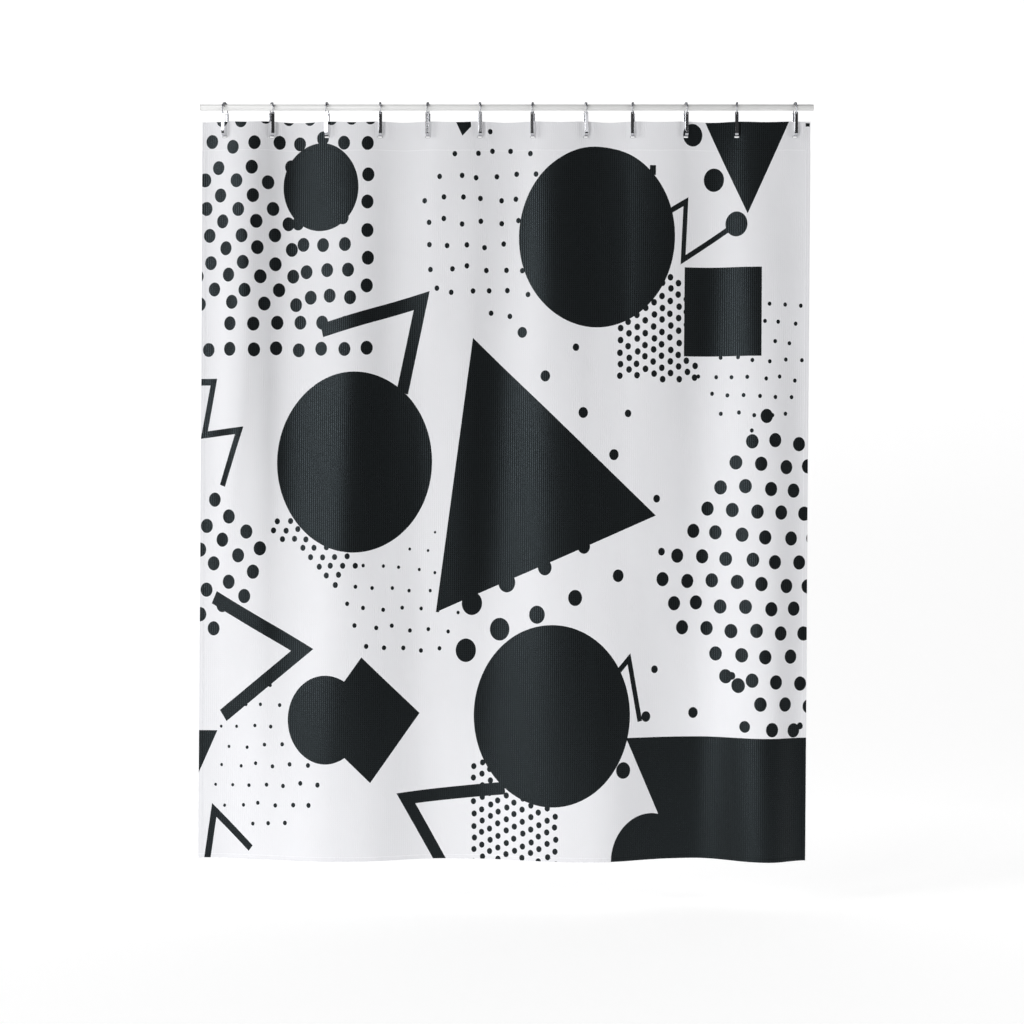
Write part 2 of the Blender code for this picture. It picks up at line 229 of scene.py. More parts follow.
# each field: a dot's centre, the two steps of its lattice, the dots' radius, how far they stray,
# and the outline that their centres keep to; a radius of three numbers grows by the first two for
# each metre across and down
DOT_FIELDS = metres((
    ((164, 255), (52, 35), (7.5, 69), 17.8, 4,
     ((-20, 83), (229, 83), (287, 350), (288, 483), (-20, 483))),
    ((374, 379), (61.5, 0), (11, 66.9), 17.8, 3,
     ((299, 290), (465, 290), (468, 487), (299, 487))),
    ((226, 512), (67.5, 0), (0, 67), 17.8, 3,
     ((60, 487), (455, 487), (515, 599), (10, 599))),
    ((494, 135), (66.2, 0), (0, 70.5), 17.8, 2,
     ((470, 80), (515, 80), (515, 440), (470, 440))),
    ((717, 194), (55.1, 1), (7.6, 59.4), 7, 8,
     ((647, 155), (723, 71), (844, 23), (1016, 28),
      (976, 499), (837, 499), (709, 445), (649, 326))),
    ((1245, 618), (24.9, 14), (0.3, 30.7), 8.5, 2,
     ((1234, 517), (1376, 389), (1440, 389), (1484, 598), (1484, 658), (1235, 658))),
    ((1733, 608), (47.2, 1.6), (-14.1, 46.2), 5.5, 5,
     ((1685, 427), (1794, 468), (1796, 723), (1655, 801),
      (1546, 777), (1470, 702), (1478, 645))),
    ((1522, 1170), (71.4, 3.6), (-42.4, 58.7), 18.2, 4,
     ((1684, 733), (1830, 796), (1830, 1560), (1662, 1560),
      (1560, 1440), (1393, 1310), (1311, 1232), (1311, 1205))),
    ((283, 1063), (24.8, 23.2), (11.5, -23.7), 7.7, 2,
     ((217, 1038), (412, 1209), (484, 1116), (266, 970))),
    ((603, 1240), (53.9, 3), (-24.2, 48.8), (-4, 8, -2.2), 6,
     ((706, 1025), (795, 1231), (761, 1337), (610, 1392),
      (516, 1367), (432, 1231), (490, 1126))),
    ((67, 1066), (47.2, 40.3), (-22.9, 62.9), 18.2, 4,
     ((-20, 934), (31, 934), (232, 1106), (174, 1176),
      (93, 1302), (41, 1342), (-20, 1398))),
    ((198, 1589), (51.5, -1), (-21.8, 50.8), (8, 2, 0.3), 5,
     ((38, 1641), (66, 1490), (229, 1430), (282, 1455), (375, 1672),
      (355, 1734), (268, 1797), (156, 1800), (45, 1742))),
    ((846, 1783), (23.9, -12.1), (0.3, 30.2), 7.8, 2,
     ((806, 1620), (1070, 1620), (1070, 1900), (806, 1900))),
))


def linear(colour):
    """A colour given as six hexadecimal sRGB digits, as the linear values that shaders use."""
    parts = [int(colour[start:start + 2], 16) / 255 for start in (1, 3, 5)]
    return [part / 12.92 if part <= 0.04045 else ((part + 0.055) / 1.055) ** 2.4 for part in parts]


# ---- settings that a user would change ----

class ClothSettings(bpy.types.PropertyGroup):
    """Colours and weave of the cloth"""
    white: FloatVectorProperty(
        name="White", description="Undyed polyester", subtype="COLOR", default=linear("#ECECEF"))
    ink: FloatVectorProperty(
        name="Ink", description="Black disperse dye of the print", subtype="COLOR",
        default=linear("#0B0C0C"))
    rib: FloatProperty(
        name="Rib", description="From one warp rib to the next", unit="LENGTH", default=0.0062)
    spacing: FloatProperty(
        name="Stitch spacing", description="Along the hems", unit="LENGTH", default=0.0040)


class RingSettings(bpy.types.PropertyGroup):
    """Finish of the roller rings"""
    chrome: FloatVectorProperty(
        name="Chrome", description="Plated strip", subtype="COLOR", default=linear("#BDBEC2"))
    nickel: FloatVectorProperty(
        name="Nickel", description="Darker plating of the wire and the balls", subtype="COLOR",
        default=linear("#8C8D92"))
    sides: IntProperty(name="Sides", description="Around the wire", default=12, min=6)


class RodSettings(bpy.types.PropertyGroup):
    """Finish of the rod and its end plugs"""
    paint: FloatVectorProperty(
        name="Paint", description="Powder coat on the tube", subtype="COLOR",
        default=linear("#F2F2F1"))
    plug: FloatVectorProperty(
        name="Plug", description="Moulded end plugs", subtype="COLOR", default=linear("#EDEDEB"))


class StageSettings(bpy.types.PropertyGroup):
    """Camera, floor and light"""
    distance: FloatProperty(
        name="Camera distance", description="From the rod", unit="LENGTH", default=5.2)
    field: FloatProperty(
        name="Field", description="Width in view at the rod", unit="LENGTH", default=2.608)
    floor_drop: FloatProperty(
        name="Floor", description="Below the cloth's bottom edge", unit="LENGTH", default=0.11)


# ---- shapes ----

def narrow_folds(x):
    """Depth of the folds between rings: cubic Hermite pieces, zero at each ring with the slope
    tan(yaw) there, and half a parabola beyond the first and the last ring."""
    slopes = np.tan(RING_YAWS)
    left = np.clip(np.searchsorted(RING_X, x) - 1, 0, RING_COUNT - 2)
    span = RING_X[left + 1] - RING_X[left]
    t = (x - RING_X[left]) / span
    between = span * (slopes[left] * t * (1 - t) ** 2 - slopes[left + 1] * t * t * (1 - t))
    before, after = RING_X[0] - x, x - RING_X[-1]
    first = -slopes[0] * before * (1 - before / (2 * (RING_X[0] - CLOTH_LEFT)))
    last = slopes[-1] * after * (1 - after / (2 * (CLOTH_RIGHT - RING_X[-1])))
    return np.where(before > 0, first, np.where(after > 0, last, between))


def broad_folds(x):
    """Depth of the folds at the bottom edge: half cosine waves from one crest to the next."""
    share = np.clip((x - CLOTH_LEFT) / HUNG_WIDTH, 0, 1)
    starts, depths = np.array(BROAD_FOLDS).T
    step = np.clip(np.searchsorted(starts, share) - 1, 0, len(starts) - 2)
    t = (share - starts[step]) / (starts[step + 1] - starts[step])
    return depths[step] + (depths[step + 1] - depths[step]) * (1 - np.cos(pi * t)) / 2


def cloth_surface(x, depth, layer):
    """Points of the hung cloth for x along the top edge, depth below it and layer behind its
    front: narrow folds that swell and run out, broad folds that grow, faint ripples that drift
    sideways on the way down, a crease that drifts left, a calmer stretch after the last ring but
    one, a dip between rings and a small pucker at each buttonhole."""
    x, depth, layer = np.broadcast_arrays(x, depth, layer)
    down = np.clip(depth / DROP, 0, 1)
    after = np.clip((x - RING_X[-2]) / CALM_WIDTH, 0, 1)
    calm = 1 - CALMING * after * np.clip(down / 0.1, 0, 1)
    narrow = narrow_folds(x) * (1 + NARROW_SWELL * down) * (1 - down) ** NARROW_FADE * calm
    broad = broad_folds(x) * down ** BROAD_GROWTH
    crease_x = RING_X[1] - CREASE_START - CREASE_DRIFT * down ** 2
    held = np.clip(down / 0.06, 0, 1) * np.clip((0.75 - down) / 0.25, 0, 1)
    crease = CREASE * np.tanh((x - crease_x) / CREASE_SPREAD) * held
    drift = x + RIPPLE_DRIFT * down
    ripple = np.sin(2 * pi * drift / RIPPLE_PITCH + 1.3 * np.sin(3.1 * down + 4 * x))
    ripple = RIPPLE * ripple * np.clip(down / 0.12, 0, 1)
    nearest = RING_X[np.abs(x[..., None] - RING_X).argmin(-1)]
    below = (depth - HOLE_DEPTH - HOLE_HEIGHT) / PUCKER_HEIGHT
    pucker = PUCKER * np.exp(-((x - nearest) / PUCKER_WIDTH) ** 2) * np.exp(-np.abs(below))
    left = np.clip(np.searchsorted(RING_X, x) - 1, 0, RING_COUNT - 2)
    t = np.clip((x - RING_X[left]) / (RING_X[left + 1] - RING_X[left]), 0, 1)
    sag = TOP_SAG * np.sin(pi * t) ** 2 * np.exp(-down / SAG_FADE)
    y = narrow + broad + ripple + crease + pucker + layer
    return np.stack((x - LEAN * down, y, TOP_EDGE - depth - sag), -1)


def steps_between(stops, longest):
    """Every stop in order, with even steps no longer than `longest` between them."""
    runs = [np.linspace(start, end, max(2, ceil((end - start) / longest) + 1))[:-1]
            for start, end in zip(stops, stops[1:])]
    return np.append(np.concatenate(runs), stops[-1])


def new_piece(name, points, faces, finishes, sharp=40):
    """A mesh object at the origin, its place in its mesh, smooth up to the sharp angle."""
    mesh = bpy.data.meshes.new(name)
    mesh.from_pydata(np.reshape(points, (-1, 3)).tolist(), [], [list(face) for face in faces])
    mesh.shade_smooth()
    mesh.set_sharp_from_angle(angle=radians(sharp))
    for finish in finishes:
        mesh.materials.append(finish)
    piece = bpy.data.objects.new(name, mesh)
    bpy.context.scene.collection.objects.link(piece)
    return piece


def tube_faces(stations, sides, copies=1, caps=True, closed=False):
    """Faces of lofted tubes, one after the other: quads between each station's ring of points
    and the next one's, wound outwards for a counter-clockwise ring, and a cap at each end."""
    here = np.arange(stations if closed else stations - 1)[:, None]
    side = np.arange(sides)[None, :]
    after, turn = (here + 1) % stations, (side + 1) % sides
    corners = (here * sides + side, here * sides + turn, after * sides + turn, after * sides + side)
    quads = np.stack(np.broadcast_arrays(*corners), -1).reshape(-1, 4)
    starts = np.arange(copies)[:, None, None] * stations * sides
    faces = (quads[None] + starts).reshape(-1, 4).tolist()
    if caps:
        near = np.arange(sides)[::-1][None] + starts[:, 0]
        far = np.arange(sides)[None] + (stations - 1) * sides + starts[:, 0]
        faces += near.tolist() + far.tolist()
    return faces


def turned_points(radii, along, sides):
    """Points of a shape turned about X: each (radius, along) pair carried round in `sides`."""
    angle = 2 * pi * np.arange(sides) / sides
    radii, along = np.asarray(radii)[:, None], np.asarray(along)[:, None]
    return np.stack(np.broadcast_arrays(along, radii * np.cos(angle), radii * np.sin(angle)), -1)


def directions(line):
    """Unit directions along a path: its gradient divided by the gradient's length."""
    along = np.gradient(line, axis=0)
    return along / np.linalg.norm(along, axis=1)[:, None]


def carried(line, along, across, out):
    """A section carried along a path in Y and Z: `across` lies along X, and `out` along the
    path's direction turned a quarter."""
    return np.stack(np.broadcast_arrays(
        across, line[:, :1] + along[:, 1:] * out, line[:, 1:] - along[:, :1] * out), -1)


def at_ring(points, number):
    """Points made around the rod at x = 0, turned by the ring's yaw and moved to its place."""
    yaw = RING_YAWS[number - 1]
    x, y, z = np.moveaxis(np.asarray(points), -1, 0)
    turned_x = x * np.cos(yaw) - y * np.sin(yaw) + RING_X[number - 1]
    return np.stack((turned_x, x * np.sin(yaw) + y * np.cos(yaw), z), -1)


def ring_body(number):
    """The cloth's first ring stays where it is; each other ring slides as a body of its own."""
    return "curtain" if number == 1 else f"ring_{number:02d}"


def soft_ride(piece):
    """Attaches cloth to the curtain's body, so it swings with the curtain, and gives it a mesh of
    its own.
    """
    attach(piece, "curtain")
    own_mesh(piece)


def sheet_piece(name, columns, rows, layer, finishes, holes=()):
    """One closed layer of cloth over columns (along the top edge) and rows (depth): a front, a
    back one thickness behind it and a rim along each edge, with the cells in `holes` left open.
    Its first map holds places on the flat cloth in metres, its second one is for baking."""
    wide, tall = len(columns), len(rows)
    grid_x, grid_depth = np.meshgrid(columns, rows)
    front = cloth_surface(grid_x, grid_depth, layer).reshape(-1, 3)
    back = cloth_surface(grid_x, grid_depth, layer + CLOTH).reshape(-1, 3)
    solid = np.ones((tall - 1, wide - 1), bool)
    for column, row in holes:
        solid[row, column] = False
    padded = np.pad(solid, 1)
    row, column = np.nonzero(solid)
    a = row * wide + column
    b, d, e = a + 1, a + wide, a + wide + 1
    count = wide * tall
    fronts = np.stack((a, d, e, b), -1)
    backs = np.stack((a, b, e, d), -1) + count
    rims = []
    for shift_row, shift_column, p, q in ((-1, 0, a, b), (1, 0, e, d), (0, -1, d, a), (0, 1, b, e)):
        bare = ~padded[row + 1 + shift_row, column + 1 + shift_column]
        rims.append(np.stack((p[bare], q[bare], q[bare] + count, p[bare] + count), -1))
    rims = np.concatenate(rims)
    faces = np.concatenate((fronts, backs, rims))
    used, faces = np.unique(faces, return_inverse=True)
    faces = faces.reshape(-1, 4)
    piece = new_piece(name, np.concatenate((front, back))[used], faces.tolist(), finishes, 60)
    across = (grid_x.ravel() - CLOTH_LEFT) * FLAT_WIDTH / HUNG_WIDTH
    flat = np.tile(np.stack((across, grid_depth.ravel()), -1), (2, 1))[used]
    share = (flat - flat.min(0)) / np.ptp(flat, axis=0)
    loops = faces.ravel()
    baked = share[loops] * (0.48, 1.0)
    baked[4 * len(fronts):, 0] += 0.52
    slots = np.repeat(np.arange(len(rims)), 4) + np.tile((0.1, 0.9, 0.9, 0.1), len(rims))
    edge = len(loops) - len(slots)
    baked[edge:, 0] = np.tile((0.49, 0.49, 0.51, 0.51), len(rims))
    baked[edge:, 1] = slots / len(rims)
    for layer_name, values in (("cloth metres", flat[loops]), ("OFBake", baked)):
        piece.data.uv_layers.new(name=layer_name).data.foreach_set("uv", values.ravel())
    piece.data.uv_layers["cloth metres"].active_render = True
    if len(finishes) > 1:
        sides = np.repeat((0, 1, 0), (len(fronts), len(backs), len(rims)))
        piece.data.polygons.foreach_set("material_index", sides)
    return piece


def cloth_columns():
    """Places across the cloth with a line at both sides of each buttonhole, and which columns
    the buttonholes take."""
    stops = [CLOTH_LEFT, CLOTH_LEFT + SIDE_HEM_WIDTH]
    for x in RING_X:
        stops += [x - HOLE_WIDTH / 2, x + HOLE_WIDTH / 2]
    stops += [CLOTH_RIGHT - SIDE_HEM_WIDTH, CLOTH_RIGHT]
    columns = steps_between(stops, COLUMN_STEP)
    middles = (columns[:-1] + columns[1:]) / 2
    inside = np.abs(middles[:, None] - RING_X).min(1) < HOLE_WIDTH / 2
    return columns, np.nonzero(inside)[0]


def folded_edge(x, depth, outward):
    """A half-round edge where the cloth folds over: the same half circle, one fold across, at
    each place along the edge, bulging outwards by its radius."""
    radius = LAYERS_REACH / 2
    angle = np.linspace(0, pi, 7)
    bulge, behind = radius * np.sin(angle), radius - radius * np.cos(angle)
    x, depth = np.broadcast_arrays(x, depth)
    rim_x = x[:, None] + outward[0] * bulge
    rim_depth = depth[:, None] + outward[1] * bulge
    points = cloth_surface(x[:, None], depth[:, None], behind)
    points[..., 0] += rim_x - x[:, None]
    points[..., 2] -= rim_depth - depth[:, None]
    return points


def join(pieces, name):
    """Joins pieces into the first one and names it."""
    bpy.ops.object.select_all(action="DESELECT")
    for piece in pieces:
        piece.select_set(True)
    bpy.context.view_layer.objects.active = pieces[0]
    bpy.ops.object.join()
    pieces[0].name = name
    return pieces[0]


def hem_piece(name, columns, rows, finish, edge_x, edge_depth, outward, holes=()):
    """The turned-in layer of a hem behind the cloth, with the rounded fold at its outer edge."""
    layer = sheet_piece(name, columns, rows, LAYER_STEP, [finish], holes)
    points = folded_edge(edge_x, edge_depth, outward)
    along = np.broadcast_arrays(edge_x, edge_depth)[0]
    faces = tube_faces(len(along), points.shape[1])
    fold = new_piece(name + "_fold", points, faces, [finish], 60)
    whole = join([layer, fold], name)
    outward_faces(whole)
    return whole


def outward_faces(piece):
    """Points the faces of closed shells outwards."""
    shape = bmesh.new()
    shape.from_mesh(piece.data)
    bmesh.ops.recalc_face_normals(shape, faces=shape.faces)
    shape.to_mesh(piece.data)
    shape.free()


def shell(name, points, faces, finish, sharp=60):
    """A piece of one or more closed shells whose faces point outwards."""
    piece = new_piece(name, points, faces, [finish], sharp)
    outward_faces(piece)
    return piece


def belongs(piece, slot, body, *nodes):
    """Attaches a piece to the body it moves with and hides the nodes it stands for; `slot` is not
    used.
    """
    for node in nodes:
        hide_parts(node)
    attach(piece, body)


def stitches(name, x, depth, along_edge, finish, spacing):
    """Rows of thread on both faces: each stitch is a tube of five sides that dips into the cloth
    at both ends, laid along the top edge's direction or down the cloth."""
    thread = 0.00035
    t = np.array((0.0, 0.22, 0.78, 1.0))[None, :, None]
    lift = np.array((-0.4, 0.6, 0.6, -0.4))[None, :, None] * thread
    angle = 2 * pi * np.arange(5) / 5
    x, depth = np.broadcast_arrays(x, depth)
    x, depth = x[:, None, None], depth[:, None, None]
    reach = (t - 0.5) * spacing * 0.78
    sideways, outwards = thread * np.cos(angle), thread * np.sin(angle)
    rows = []
    for face, level in ((-1, 0.0), (1, LAYERS_REACH)):
        level = level + face * lift + outwards
        if along_edge:
            rows.append(cloth_surface(x + reach, depth + sideways, level))
        else:
            rows.append(cloth_surface(x + sideways, depth + reach, level))
    points = np.concatenate(rows)
    piece = shell(name, points, tube_faces(4, 5, len(points)), finish)
    across = (x - CLOTH_LEFT) * FLAT_WIDTH / HUNG_WIDTH
    flat = np.stack(np.broadcast_arrays(across, depth, np.zeros((1, 4, 5))), -1)[..., :2]
    flat = np.tile(flat.reshape(-1, 2), (2, 1))
    loops = np.empty(len(piece.data.loops), np.int32)
    piece.data.loops.foreach_get("vertex_index", loops)
    layer = piece.data.uv_layers.new(name="cloth metres")
    layer.data.foreach_set("uv", flat[loops].ravel())
    return piece


# ---- finishes ----

def add(tree, kind, inputs=(), out=0, **settings):
    """Adds a shader node with its settings, feeds its inputs, by order or by name, with sockets
    or plain values, and returns one of its outputs."""
    node = tree.nodes.new("ShaderNode" + kind)
    for key, value in settings.items():
        setattr(node, key, value)
    for key, value in inputs.items() if isinstance(inputs, dict) else enumerate(inputs):
        if isinstance(value, bpy.types.NodeSocket):
            tree.links.new(value, node.inputs[key])
        else:
            node.inputs[key].default_value = value
    return node.outputs[out]


def new_finish(name, **constants):
    """A material with its shader's constants set, and its tree."""
    made = bpy.data.materials.new(name)
    made.use_nodes = True
    shader = made.node_tree.nodes["Principled BSDF"]
    for key, value in constants.items():
        shader.inputs[key.replace("_", " ")].default_value = value
    return made, made.node_tree


def surface(made, colour, roughness, height, strength, distance):
    """Feeds a material's colour, its roughness where that varies, and its relief."""
    tree = made.node_tree
    relief = {"Strength": strength, "Distance": distance, "Height": height}
    relief = add(tree, "Bump", relief, "Normal")
    fed = {"Base Color": colour, "Roughness": roughness, "Normal": relief}
    for key, value in fed.items():
        if value is not None:
            tree.links.new(value, tree.nodes["Principled BSDF"].inputs[key])
    return made


def inside_disc(tree, place, centre, radius):
    """Metres inside a disc: its radius less the distance from its centre."""
    far = add(tree, "VectorMath", (place, (*centre, 1.0)), "Value", operation="DISTANCE")
    return add(tree, "Math", (radius, far), operation="SUBTRACT")


def left_normals(sides):
    """Unit normals of flat steps: each step turned a quarter left and divided by its length."""
    return np.stack((-sides[:, 1], sides[:, 0]), -1) / np.linalg.norm(sides, axis=1)[:, None]


def least_depth(tree, place, planes):
    """The least of the place's products with each plane, which are metres on its inner side."""
    least = None
    for plane in planes:
        depth = add(tree, "VectorMath", (place, plane), "Value", operation="DOT_PRODUCT")
        least = depth if least is None else add(tree, "Math", (least, depth), operation="MINIMUM")
    return least


def inside_outline(tree, place, corners):
    """Metres inside a convex outline: the least distance from the lines through its sides."""
    corners = np.array(corners)
    sides = np.roll(corners, -1, 0) - corners
    normals = left_normals(sides)
    centre = corners.mean(0)
    normals *= np.sign(((centre - corners) * normals).sum(1))[:, None]
    planes = [(*normal, -normal @ corner) for normal, corner in zip(normals, corners)]
    return least_depth(tree, place, planes)


def band_arms(width, line):
    """The arms of a bent band as four-cornered outlines, square at its ends and mitred at its
    bends: the mitre at a bend is (n1 + n2) / (1 + n1 . n2) times half the width."""
    line = np.array(line)
    sides = np.diff(line, axis=0)
    normals = left_normals(sides)
    before, after = np.vstack((normals[:1], normals)), np.vstack((normals, normals[-1:]))
    mitres = (before + after) / (1 + (before * after).sum(1))[:, None] * width / 2
    outer, inner = line + mitres, line - mitres
    return [(outer[n], outer[n + 1], inner[n + 1], inner[n]) for n in range(len(sides))]


def inside_dots(tree, place, dot, step, rise, radius, stray, outline):
    """Metres inside the nearest dot of a slanted lattice. Place is turned into lattice steps by
    the inverse of the two steps, rounded down to a cell, and the cell gives its dot's centre,
    which strays a little. Dots whose centre lies outside the outline are left out."""
    basis = np.array((step, rise)).T
    inverse = np.linalg.inv(basis)
    shift = 0.5 - inverse @ np.array(dot)
    counts = [add(tree, "VectorMath", (place, (*inverse[n], shift[n])), "Value",
                  operation="DOT_PRODUCT") for n in (0, 1)]
    cell = add(tree, "CombineXYZ", (*counts, 1.0))
    cell = add(tree, "VectorMath", (cell,), operation="FLOOR")
    centres = [add(tree, "VectorMath", (cell, (*basis[n], dot[n] - stray)), "Value",
                   operation="DOT_PRODUCT") for n in (0, 1)]
    centre = add(tree, "CombineXYZ", (*centres, 1.0))
    chance = add(tree, "TexWhiteNoise", {"Vector": cell}, "Color", noise_dimensions="3D")
    centre = add(tree, "VectorMath", (chance, (2 * stray, 2 * stray, 0.0), centre),
                 operation="MULTIPLY_ADD")
    if not isinstance(radius, float):
        radius = add(tree, "VectorMath", (centre, radius), "Value",
                     operation="DOT_PRODUCT")
    far = add(tree, "VectorMath", (place, centre), "Value", operation="DISTANCE")
    inside = add(tree, "Math", (radius, far), operation="SUBTRACT")
    kept = inside_outline(tree, centre, outline)
    return add(tree, "Math", (inside, kept), operation="MINIMUM")


def cloth_place(tree):
    """Places on the flat cloth in metres, with 1 as their third number."""
    place = add(tree, "UVMap", uv_map="cloth metres")
    return add(tree, "VectorMath", (place, (0.0, 0.0, 1.0)), operation="ADD")


def printed_ink(tree, place):
    """1 where the print has ink: the greatest depth inside any of its shapes is above zero.
    Each shape joins the running greatest as it is made, which keeps few values alive at once."""
    ink = -1.0
    makers = [(inside_disc, ((u, v), radius)) for u, v, radius in LARGE_DISCS + LOOSE_DOTS]
    makers += [(inside_outline, (corners,)) for corners in BLOCKS]
    for width, line in ZIGZAGS:
        makers += [(inside_outline, (arm,)) for arm in band_arms(width, line)]
    makers += [(inside_dots, field) for field in DOT_FIELDS]
    for maker, facts in makers:
        depth = maker(tree, place, *facts)
        ink = add(tree, "Math", (ink, depth), operation="MAXIMUM")
    return add(tree, "Math", (ink, 0.0), operation="GREATER_THAN")


def blend(tree, share, first, second):
    """Goes from the first colour or number to the second one as share goes from 0 to 1."""
    if isinstance(first, float):
        return add(tree, "MapRange", (share, 0.0, 1.0, first, second))
    colours = [value if isinstance(value, bpy.types.NodeSocket) else (*value, 1.0)
               for value in (first, second)]
    return add(tree, "Mix", {0: share, 6: colours[0], 7: colours[1]}, 2,
               data_type="RGBA")


def weave(tree, place, rib):
    """The weave's height and its gloss: a sine rib across the cloth and a finer one down it,
    added for the height with a loose noise, and multiplied for the yarns that catch the light
    where they cross on top. The real threads are 0.2 mm apart and too fine to show, so the ribs
    are drawn much coarser."""
    across, down = (add(tree, "VectorMath", (place, axis), "Value",
                        operation="DOT_PRODUCT")
                    for axis in ((2 * pi / rib, 0, 0), (0, 2 * pi / rib * 1.25, 0)))
    ribs = add(tree, "Math", (across,), operation="SINE")
    picks = add(tree, "Math", (down,), operation="SINE")
    slubs = add(tree, "TexNoise", {"Vector": place, "Scale": 420.0, "Detail": 2.0})
    height = add(tree, "Math", (picks, 0.35, ribs), operation="MULTIPLY_ADD")
    height = add(tree, "Math", (slubs, 1.1, height), operation="MULTIPLY_ADD")
    crossings = add(tree, "Math", (picks, 0.4, 1.0), operation="MULTIPLY_ADD")
    gloss = add(tree, "Math", (ribs, crossings), operation="MULTIPLY")
    return height, add(tree, "MapRange", (gloss, -1.0, 1.0, 0.0, 1.0))


def woven(name, settings, ink_share, doubled_shade_and_highlight):
    """Woven polyester: a matt cloth whose filament yarns give a soft gloss along the folds,
    clearest on the black ink. Doubled cloth at the header and hems is painted a little greyer, a
    painted shade for the light that the second layer holds back, with a painted highlight along
    the edge of each doubled stretch. `ink_share` is how much of the print shows: all of it in
    front, a ghost behind."""
    made, tree = new_finish(name, Roughness=0.7, Sheen_Weight=0.02, Sheen_Roughness=0.5,
                            Specular_IOR_Level=0.26, Specular_Tint=(0.74, 0.91, 1.0, 1.0))
    place = cloth_place(tree)
    height, gloss = weave(tree, place, settings.rib)
    tone = add(tree, "TexNoise", {"Vector": place, "Scale": 5.0, "Detail": 3.0})
    tone = add(tree, "MapRange", (tone, 0.3, 0.7, 0.0, 1.0))
    white = blend(tree, tone, settings.white, [part * 0.975 for part in settings.white])
    if doubled_shade_and_highlight:
        # painted shade: where the cloth is doubled, at the header and the hems, its white is drawn
        # 0.985 times as bright, for the light that the second layer holds back
        planes = ((0, 1, -HEADER_HEIGHT), (-1, 0, FLAT_WIDTH - SIDE_HEM_WIDTH * 1.16),
                  (0, -1, FLAT_LENGTH - BOTTOM_HEM_HEIGHT))
        single = least_depth(tree, place, planes)
        shade = add(tree, "MapRange", (single, -0.0018, -0.0006, 1.0, 0.0))
        white = blend(tree, shade, white, [part * 0.985 for part in settings.white])
        # painted highlight: a thin line at the edge of the doubled stretches, along the header's
        # seam and the hems, is drawn 1.10 times as bright, for the pressed ridge that catches the
        # light
        edge = add(tree, "Math", (single, 0.0004), operation="ADD")
        edge = add(tree, "Math", (edge,), operation="ABSOLUTE")
        edge = add(tree, "MapRange", (edge, 0.0, 0.0018, 1.0, 0.0))
        white = blend(tree, edge, white, [min(part * 1.10, 0.97) for part in settings.white])
    colour, roughness = white, None
    if ink_share > 0:
        ink = printed_ink(tree, place)
        dye = add(tree, "Math", (ink, ink_share), operation="MULTIPLY")
        # painted highlight: the ink's colour goes from 0.8 to 1.5 times the ink with the weave's
        # gloss, so the yarn crossings that catch the light are drawn lighter; the weave pattern
        # itself is real
        ink_painted_glint = blend(tree, gloss, [part * 0.8 for part in settings.ink],
                     [part * 1.5 for part in settings.ink])
        colour = blend(tree, dye, white, ink_painted_glint)
        inked = blend(tree, gloss, 0.60, 0.23)
        roughness = add(tree, "MapRange", (dye, 0.0, 1.0, 0.7, inked))
    return surface(made, colour, roughness, height, 0.32, 0.0004)


def sewing_thread(name, colour, ink, printed):
    """Spun polyester thread: matt, with a twist of plies that a fine wave stands for.
    The hems were sewn before printing, so their stitches take the ink as the cloth does."""
    made, tree = new_finish(name, Roughness=0.85, Specular_IOR_Level=0.2)
    place = add(tree, "TexCoord", out="Object")
    twist = add(tree, "TexWave", {"Vector": place, "Scale": 900.0, "Distortion": 1.0},
                "Fac", bands_direction="DIAGONAL")
    # painted shade: the thread is drawn a tenth darker where the twist's wave is low, in the
    # grooves between its plies
    shade = blend(tree, twist, [part * 0.90 for part in colour], list(colour))
    if printed:
        shade = blend(tree, printed_ink(tree, cloth_place(tree)), shade, ink)
    return surface(made, shade, None, twist, 0.4, 0.0001)


def plated(name, colour, roughness, grain):
    """Nickel and chrome on steel, tumbled and plated: a mirror with faint handling marks, so its
    roughness varies. `grain` stretches the marks along or across the piece."""
    made, tree = new_finish(name, Metallic=1.0)
    place = add(tree, "TexCoord", out="Object")
    place = add(tree, "Mapping", {"Vector": place, "Scale": grain})
    marks = add(tree, "TexNoise", {"Vector": place, "Scale": 900.0, "Detail": 4.0})
    rough = blend(tree, marks, roughness, roughness + 0.08)
    shade = blend(tree, marks, colour, [part * 0.90 for part in colour])
    return surface(made, shade, rough, marks, 0.12, 0.00005)


def coated(name, colour, roughness, texture, coat):
    """Powder coat on steel, or moulded ABS: satin, with a fine orange peel or spark texture that
    is a fraction of a millimetre across, and tone that drifts slightly along the piece."""
    made, tree = new_finish(name, Coat_Weight=coat, Coat_Roughness=0.2)
    place = add(tree, "TexCoord", out="Object")
    peel = add(tree, "TexNoise", {"Vector": place, "Scale": 1 / texture, "Detail": 2.0})
    drift = add(tree, "TexNoise", {"Vector": place, "Scale": 9.0, "Detail": 2.0})
    shade = blend(tree, drift, colour, [part * 0.94 for part in colour])
    rough = blend(tree, peel, roughness, roughness + 0.12)
    return surface(made, shade, rough, peel, 0.15, 0.0002)


def background_paper():
    """Matt seamless paper that glows a little, as a lit backdrop does, and that lets a viewer
    behind it see through: a face turned away is transparent."""
    made, tree = new_finish("matt background paper", Roughness=0.95, Emission_Strength=0.73)
    shader = tree.nodes["Principled BSDF"]
    shader.inputs["Emission Color"].default_value = (1, 1, 1, 1)
    grain = add(tree, "TexNoise", {"Scale": 3.0})
    tree.links.new(blend(tree, grain, linear("#A2A2A2"), linear("#A6A6A6")),
                   shader.inputs["Base Color"])
    away = add(tree, "NewGeometry", out="Backfacing")
    clear = add(tree, "BsdfTransparent")
    seen = add(tree, "MixShader", (away, shader.outputs["BSDF"], clear))
    tree.links.new(seen, tree.nodes["Material Output"].inputs["Surface"])
    return made


# ---- pieces ----

